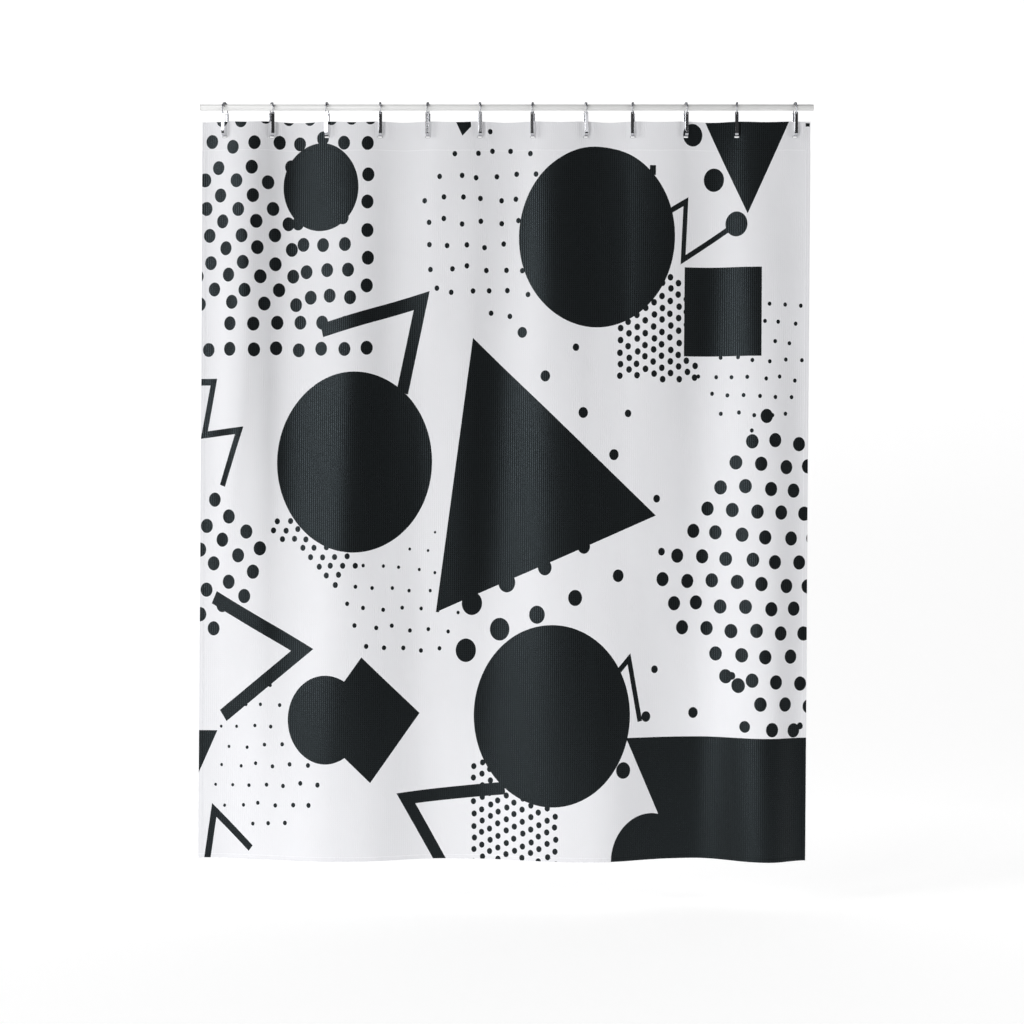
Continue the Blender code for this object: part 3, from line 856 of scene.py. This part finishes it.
class CURTAIN_OT_cloth(bpy.types.Operator):
    """Adds the printed cloth with its buttonholes open"""
    bl_idname = "curtain.cloth"
    bl_label = "Printed Cloth"

    def execute(self, context):
        settings = context.scene.curtain_cloth
        columns, hole_columns = cloth_columns()
        header = steps_between(HEADER_STOPS, HEADER_STEP)
        below = steps_between([HEADER_HEIGHT, DROP - BOTTOM_HEM_HEIGHT, DROP], ROW_STEP)
        rows = np.append(header, below[1:])
        hole_row = int(np.abs(rows - HOLE_DEPTH).argmin())
        finishes = [woven("printed woven polyester", settings, 1.0, True),
                    woven("reverse of printed polyester", settings, GHOST_PRINT, False)]
        cloth = sheet_piece("curtain_cloth", columns, rows, 0.0, finishes,
                            [(column, hole_row) for column in hole_columns])
        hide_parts("curtain_panel")
        soft_ride(cloth)
        return {"FINISHED"}


class CURTAIN_OT_hems(bpy.types.Operator):
    """Adds the header's facing and the turned-in hems"""
    bl_idname = "curtain.hems"
    bl_label = "Header and Hems"

    def execute(self, context):
        settings = context.scene.curtain_cloth
        plain = woven("woven polyester hem", settings, 0.0, False)
        columns, hole_columns = cloth_columns()
        header = steps_between(HEADER_STOPS, FACING_STEP)
        hole_row = int(np.abs(header - HOLE_DEPTH).argmin())
        holes = [(column, hole_row) for column in hole_columns]
        hem_line = DROP - BOTTOM_HEM_HEIGHT
        side_rows = steps_between([HEADER_HEIGHT + GAP, hem_line - GAP], ROW_STEP)
        left = np.array([CLOTH_LEFT, CLOTH_LEFT + SIDE_HEM_WIDTH])
        right = np.array([CLOTH_RIGHT - SIDE_HEM_WIDTH, CLOTH_RIGHT])
        pieces = [
            hem_piece("header_facing", columns, header, plain, columns, 0.0, (0, -1), holes),
            hem_piece("bottom_hem_turning", columns, steps_between([hem_line, DROP], 0.01), plain,
                      columns, DROP, (0, 1)),
            hem_piece("side_hem_turning_left", left, side_rows, plain, CLOTH_LEFT, side_rows,
                      (-1, 0)),
            hem_piece("side_hem_turning_right", right, side_rows, plain, CLOTH_RIGHT, side_rows,
                      (1, 0)),
        ]
        nodes = ("header_band", "bottom_hem", "side_hem_left", "side_hem_right")
        for piece, node in zip(pieces, nodes):
            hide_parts(node)
            soft_ride(piece)
        return {"FINISHED"}


class CURTAIN_OT_stitching(bpy.types.Operator):
    """Adds the lines of stitches along the header's seam and the hems"""
    bl_idname = "curtain.stitching"
    bl_label = "Hem Stitching"

    def execute(self, context):
        settings = context.scene.curtain_cloth
        thread = sewing_thread("hem thread", settings.white, settings.ink, True)
        spacing = settings.spacing
        inset = STITCH_INSET
        across = np.arange(CLOTH_LEFT + inset, CLOTH_RIGHT - inset, spacing)
        down = np.arange(HEADER_HEIGHT + inset, DROP - BOTTOM_HEM_HEIGHT - inset, spacing)
        lines = (
            ("header_stitches", across, HEADER_HEIGHT - inset, True),
            ("bottom_hem_stitches", across, DROP - BOTTOM_HEM_HEIGHT + inset, True),
            ("side_hem_stitches_left", CLOTH_LEFT + SIDE_HEM_WIDTH - inset, down, False),
            ("side_hem_stitches_right", CLOTH_RIGHT - SIDE_HEM_WIDTH + inset, down, False),
        )
        for name, x, depth, along_edge in lines:
            piece = stitches(name, x, depth, along_edge, thread, spacing)
            soft_ride(piece)
        return {"FINISHED"}


class CURTAIN_OT_buttonholes(bpy.types.Operator):
    """Adds the satin-stitched edge of each buttonhole, on both faces of the cloth"""
    bl_idname = "curtain.buttonholes"
    bl_label = "Buttonholes"

    def execute(self, context):
        settings = context.scene.curtain_cloth
        # painted shade: the buttonhole thread is drawn mid grey, far darker than the white cloth,
        # for the shade in and around each hole
        thread = sewing_thread("buttonhole thread", linear("#97979C"), settings.ink, False)
        band, lift = 0.0006, 0.00030
        round_end = HOLE_HEIGHT / 2 + band * 0.6
        straight = HOLE_WIDTH / 2 - HOLE_HEIGHT / 2
        turn = np.linspace(0, 2 * pi, 40, endpoint=False)[:, None]
        side = 2 * pi * np.arange(8)[None] / 8
        reach = round_end + band * np.cos(side)
        across = np.cos(turn) * reach + straight * np.sign(np.round(np.cos(turn), 9))
        depth = HOLE_DEPTH + HOLE_HEIGHT / 2 + np.sin(turn) * reach
        ridges = 1 + 0.25 * np.cos(20 * turn)
        for number in RINGS:
            rims = []
            for face, level in ((-1, 0.0), (1, LAYERS_REACH)):
                height = level + face * lift * np.sin(side) * ridges
                rims.append(cloth_surface(RING_X[number - 1] + across, depth, height))
            faces = tube_faces(len(turn), side.size, 2, caps=False, closed=True)
            piece = shell(f"buttonhole_{number:02d}", np.array(rims), faces, thread)
            belongs(piece, "plain_cloth", ring_body(number))
        return {"FINISHED"}


class CURTAIN_OT_ring_wires(bpy.types.Operator):
    """Adds the bent wire of each ring, its ends turned in through the strip"""
    bl_idname = "curtain.ring_wires"
    bl_label = "Ring Wires"

    def execute(self, context):
        settings = context.scene.curtain_rings
        nickel = plated("nickel-plated spring wire", settings.nickel, 0.12, (1, 1, 0.15))
        arc = np.linspace(0, pi / 2, 25)
        bend = np.linspace(0, pi / 2, 6)
        bend_y, bend_z = BOW_RADIUS - END_BEND, WIRE_END_Z + END_BEND
        y = np.concatenate((BOW_RADIUS * np.sin(arc), bend_y + END_BEND * np.cos(bend),
                            [LEG_Y - STRIP_THICKNESS / 2 - WIRE_END_REACH]))
        z = np.concatenate((BOW_Z + BOW_RADIUS * np.cos(arc), bend_z - END_BEND * np.sin(bend),
                            [WIRE_END_Z]))
        line = np.stack((np.append(-y[:0:-1], y), np.append(z[:0:-1], z)), -1)
        along = directions(line)
        angle = 2 * pi * np.arange(settings.sides) / settings.sides
        radius = np.full(len(line), WIRE_DIAMETER / 2)
        line = np.concatenate((line[:1], line, line[-1:]))
        along = np.concatenate((along[:1], along, along[-1:]))
        radius = np.concatenate((radius[:1] * 0.75, radius, radius[-1:] * 0.75))
        line[0] -= along[0] * 0.0003
        line[-1] += along[-1] * 0.0003
        out = radius[:, None] * np.cos(angle)
        points = carried(line, along, radius[:, None] * np.sin(angle), out)
        faces = tube_faces(len(line), settings.sides)
        for number in RINGS:
            piece = shell(f"ring_wire_{number:02d}", at_ring(points, number), faces, nickel, 50)
            belongs(piece, "wire", ring_body(number), f"ring_bow_{number:02d}")
        return {"FINISHED"}


def ball_points(bore, sides=20):
    """A ball with a bore along Y and a rounded mouth: the arc from one mouth to the other, then
    back along the bore."""
    start = np.arcsin(bore / BALL_RADIUS)
    arc = np.linspace(start, pi - start, 13)
    radii = np.append(BALL_RADIUS * np.sin(arc), [bore * 0.985, bore * 0.985])
    along = np.append(BALL_RADIUS * np.cos(arc), BALL_RADIUS * np.cos(arc[[-2, 1]]))
    return turned_points(radii, along, sides)[..., [1, 0, 2]]


class CURTAIN_OT_rollers(bpy.types.Operator):
    """Adds the five balls of each ring, the top one on its own turning body"""
    bl_idname = "curtain.rollers"
    bl_label = "Roller Balls"

    def execute(self, context):
        settings = context.scene.curtain_rings
        nickel = plated("barrel-polished nickel ball", settings.nickel, 0.07, (1, 1, 1))
        top = ball_points(WIRE_DIAMETER / 2 + 0.00065)
        side = ball_points(WIRE_DIAMETER / 2 + 0.0001)
        faces = tube_faces(*top.shape[:2], caps=False, closed=True)
        step = (2 * BALL_RADIUS + BALL_SPACING) / BOW_RADIUS
        for number in RINGS:
            moved = at_ring(top + (0, 0, BALL_Z), number)
            roller = shell(f"roller_ball_{number:02d}", moved, faces, nickel)
            belongs(roller, "roller", f"roller_{number:02d}", f"top_roller_{number:02d}")
            balls = []
            for tilt in np.array((-2, -1, 1, 2)) * step:
                y, z = side[..., 1], side[..., 2] + BOW_RADIUS
                turned = (side[..., 0], y * np.cos(tilt) + z * np.sin(tilt),
                          z * np.cos(tilt) - y * np.sin(tilt) + BOW_Z)
                balls.append(at_ring(np.stack(turned, -1), number))
            many = tube_faces(*side.shape[:2], copies=4, caps=False, closed=True)
            piece = shell(f"side_balls_{number:02d}", np.array(balls), many, nickel)
            belongs(piece, "roller", ring_body(number))
        return {"FINISHED"}


def strip_points():
    """The strip's path down one leg, round a half circle and up the other. Its section has half
    an ellipse for its outer face and a flat inner one, and narrows at both ends by a quarter
    circle."""
    corner = STRIP_CORNER
    ends = np.linspace(0.02, pi / 2, 6)
    leg_z = STRIP_TOP_Z - corner * (1 - np.cos(ends))
    leg_half = STRIP_WIDTH / 2 - corner * (1 - np.sin(ends))
    middle = np.linspace(leg_z[-1], BEND_Z, 8)[1:-1]
    bend = np.linspace(0, pi, 25)
    y = np.concatenate((np.full(len(ends) + len(middle), LEG_Y), LEG_Y * np.cos(bend[:13])))
    z = np.concatenate((leg_z, middle, BEND_Z - LEG_Y * np.sin(bend[:13])))
    half = np.concatenate((leg_half, np.full(len(middle) + 13, STRIP_WIDTH / 2)))
    y, z, half = np.append(y, -y[-2::-1]), np.append(z, z[-2::-1]), np.append(half, half[-2::-1])
    line = np.stack((y, z), -1)
    along = directions(line)
    thick, soft = STRIP_THICKNESS / 2, 0.0002
    tilt = np.linspace(0.05, pi - 0.05, 15)
    inner = np.array(((-1, soft - thick), (-0.95, -thick), (0.95, -thick), (1, soft - thick)))
    share = np.append(np.cos(tilt), inner[:, 0])
    out = np.append(thick + STRIP_BULGE - STRIP_CROWN * (1 - np.sin(tilt)), inner[:, 1])
    across = share * half[:, None]
    return carried(line, along, across, out)


class CURTAIN_OT_strip_clips(bpy.types.Operator):
    """Adds the flat strip of each ring, bent to a U through the cloth, with the wire's holes"""
    bl_idname = "curtain.strip_clips"
    bl_label = "Strip Clips"

    def execute(self, context):
        settings = context.scene.curtain_rings
        chrome = plated("chromed strip steel", settings.chrome, 0.08, (1, 1, 0.08))
        points = strip_points()
        blank = shell("strip_blank", points, tube_faces(*points.shape[:2]), chrome, 40)
        reach = LEG_Y + STRIP_THICKNESS
        pin = turned_points([WIRE_HOLE_DIAMETER / 2] * 2, [-reach, reach], 28)[..., [1, 0, 2]]
        pin = shell("wire_hole", pin + (0, 0, WIRE_END_Z), tube_faces(2, 28), chrome, 40)
        cut = blank.modifiers.new("wire holes", "BOOLEAN")
        cut.object = pin
        seen = blank.evaluated_get(context.evaluated_depsgraph_get())
        holed = bpy.data.meshes.new_from_object(seen)
        bpy.data.objects.remove(blank)
        bpy.data.objects.remove(pin)
        places = np.empty(len(holed.vertices) * 3, np.float32)
        holed.vertices.foreach_get("co", places)
        for number in RINGS:
            mesh = holed.copy()
            mesh.vertices.foreach_set("co", at_ring(places.reshape(-1, 3), number).ravel())
            mesh.set_sharp_from_angle(angle=radians(40))
            piece = bpy.data.objects.new(f"strip_{number:02d}", mesh)
            context.scene.collection.objects.link(piece)
            belongs(piece, "strip", ring_body(number), f"strip_clip_{number:02d}")
        return {"FINISHED"}


class CURTAIN_OT_rod(bpy.types.Operator):
    """Adds the rod's tube and its end plugs"""
    bl_idname = "curtain.rod"
    bl_label = "Rod and Plugs"

    def execute(self, context):
        settings = context.scene.curtain_rod
        paint = coated("powder-coated steel tube", settings.paint, 0.32, 0.0011, 0.15)
        plastic = coated("moulded ABS plug", settings.plug, 0.42, 0.0006, 0.0)
        wall, edge = 0.0012, 0.0003
        half = ROD_HIGH.x
        radii = [ROD_RADIUS - wall, ROD_RADIUS - edge, ROD_RADIUS, ROD_RADIUS, ROD_RADIUS - edge,
                 ROD_RADIUS - wall]
        along = [-half, -half, -half + edge, half - edge, half, half]
        points = turned_points(radii, along, 72)
        faces = tube_faces(*points.shape[:2], caps=False, closed=True)
        belongs(shell("rod_sleeve", points, faces, paint, 50), "rod", "rod", "rod_tube")
        shank, rim, end = ROD_RADIUS - wall - GAP, half + GAP, PLUG_HIGH.x
        soft = np.linspace(0, pi / 2, 5)
        chamfer = 0.0006
        radii = np.concatenate(([shank * 0.9, shank, shank, ROD_RADIUS],
                                ROD_RADIUS - chamfer + chamfer * np.cos(soft), [0.0022]))
        along = np.concatenate(([PLUG_LOW.x, PLUG_LOW.x + 0.0008, rim, rim],
                                end - chamfer + chamfer * np.sin(soft), [end]))
        points = turned_points(radii, along, 72)
        faces = tube_faces(*points.shape[:2])
        for name, side in (("left", -1), ("right", 1)):
            plug = shell(f"end_plug_{name}", points * (side, 1, 1), faces, plastic, 50)
            belongs(plug, "plug", "rod", f"rod_plug_{name}")
        return {"FINISHED"}


class CURTAIN_OT_stage(bpy.types.Operator):
    """Adds the camera, a pale sweep behind the curtain and soft studio light"""
    bl_idname = "curtain.stage"
    bl_label = "Stage"

    def execute(self, context):
        settings = context.scene.curtain_stage
        view = bpy.data.cameras.new("camera")
        view.lens = view.sensor_width * settings.distance / settings.field
        camera = bpy.data.objects.new("camera", view)
        camera.location = (CAMERA_X, -settings.distance, CAMERA_Z)
        camera.rotation_euler = (pi / 2, 0, 0)
        context.scene.collection.objects.link(camera)
        context.scene.camera = camera
        context.scene.view_settings.view_transform = "Standard"

        floor = PANEL_LOW.z - settings.floor_drop
        bend = np.linspace(0, pi / 2, 17)
        radius, front, back, width, top = 1.5, -2.4, 1.6, 9.0, 6.0
        y = np.concatenate(([front], back + radius * np.sin(bend), [back + radius]))
        z = np.concatenate(([floor], floor + radius - radius * np.cos(bend), [top]))
        line = np.stack((np.full_like(y, -width), y, z), -1)
        points = np.stack((line, line * (-1, 1, 1)), 1)
        faces = [(n * 2, n * 2 + 1, n * 2 + 3, n * 2 + 2) for n in range(len(y) - 1)]
        paper = background_paper()
        sweep = new_piece("background_sweep", points, faces, [paper], 80)

        turns, room = 96, 9.0
        radii = np.concatenate(([0.01], room - radius + radius * np.sin(bend), [room]))
        z = np.concatenate(([floor], floor + radius - radius * np.cos(bend), [top])) - 0.002
        angle = -2 * pi * np.arange(turns) / turns
        points = np.stack(np.broadcast_arrays(
            radii[:, None] * np.cos(angle), radii[:, None] * np.sin(angle), z[:, None]), -1)
        faces = tube_faces(len(radii), turns, caps=False)
        walls = new_piece("studio_walls", points, faces, [paper], 80)
        for kind in ("diffuse", "glossy", "transmission", "shadow"):
            setattr(walls, f"visible_{kind}", False)

        world = bpy.data.worlds.new("studio")
        world.use_nodes = True
        world.node_tree.nodes["Background"].inputs["Color"].default_value = (1, 1, 1, 1)
        world.node_tree.nodes["Background"].inputs["Strength"].default_value = 0.05
        context.scene.world = world
        lamps = (
            ("key softbox", (-6.6, -11.2, 0.4), (3.0, 6.8), 660),
            ("side softbox", (-11.0, -5.2, 4.2), (4.8, 4.8), 780),
            ("narrow softbox", (3.4, -9.5, 0.6), (0.8, 3.6), 16),
            ("fill card", (4.6, -2.4, 0.9), (2.0, 2.0), 58),
        )
        for name, place, size, power in lamps:
            lamp = bpy.data.lights.new(name, "AREA")
            lamp.shape = "RECTANGLE"
            lamp.size, lamp.size_y = size
            lamp.energy = power
            holder = bpy.data.objects.new(name, lamp)
            holder.location = place
            aim = Vector((0, 0, -1.0)) - holder.location
            holder.rotation_euler = aim.to_track_quat("-Z", "Y").to_euler()
            holder.visible_camera = False
            context.scene.collection.objects.link(holder)
        return {"FINISHED"}


class CURTAIN_PT_panel(bpy.types.Panel):
    """Lists what the curtain is made of"""
    bl_idname = "CURTAIN_PT_panel"
    bl_label = "Shower Curtain"
    bl_space_type = "VIEW_3D"
    bl_region_type = "UI"
    bl_category = "Curtain"

    def draw(self, context):
        for group, operators in GROUPS:
            box = self.layout.box()
            settings = getattr(context.scene, group)
            for key in settings.bl_rna.properties.keys():
                if key not in {"rna_type", "name"}:
                    box.prop(settings, key)
            for operator in operators:
                box.operator(operator.bl_idname)


GROUPS = (
    ("curtain_cloth", (CURTAIN_OT_cloth, CURTAIN_OT_hems, CURTAIN_OT_stitching,
                       CURTAIN_OT_buttonholes)),
    ("curtain_rings", (CURTAIN_OT_ring_wires, CURTAIN_OT_rollers, CURTAIN_OT_strip_clips)),
    ("curtain_rod", (CURTAIN_OT_rod,)),
    ("curtain_stage", (CURTAIN_OT_stage,)),
)
SETTINGS = {"curtain_cloth": ClothSettings, "curtain_rings": RingSettings,
            "curtain_rod": RodSettings, "curtain_stage": StageSettings}
OPERATORS = [operator for _, operators in GROUPS for operator in operators]


def register():
    for made in (*SETTINGS.values(), *OPERATORS, CURTAIN_PT_panel):
        bpy.utils.register_class(made)
    for name, made in SETTINGS.items():
        setattr(bpy.types.Scene, name, PointerProperty(type=made))


def unregister():
    for name in SETTINGS:
        delattr(bpy.types.Scene, name)
    for made in reversed((*SETTINGS.values(), *OPERATORS, CURTAIN_PT_panel)):
        bpy.utils.unregister_class(made)


def main():
    register()
    for operator in OPERATORS:
        group, name = operator.bl_idname.split(".")
        getattr(getattr(bpy.ops, group), name)()


if __name__ == "__main__":
    main()
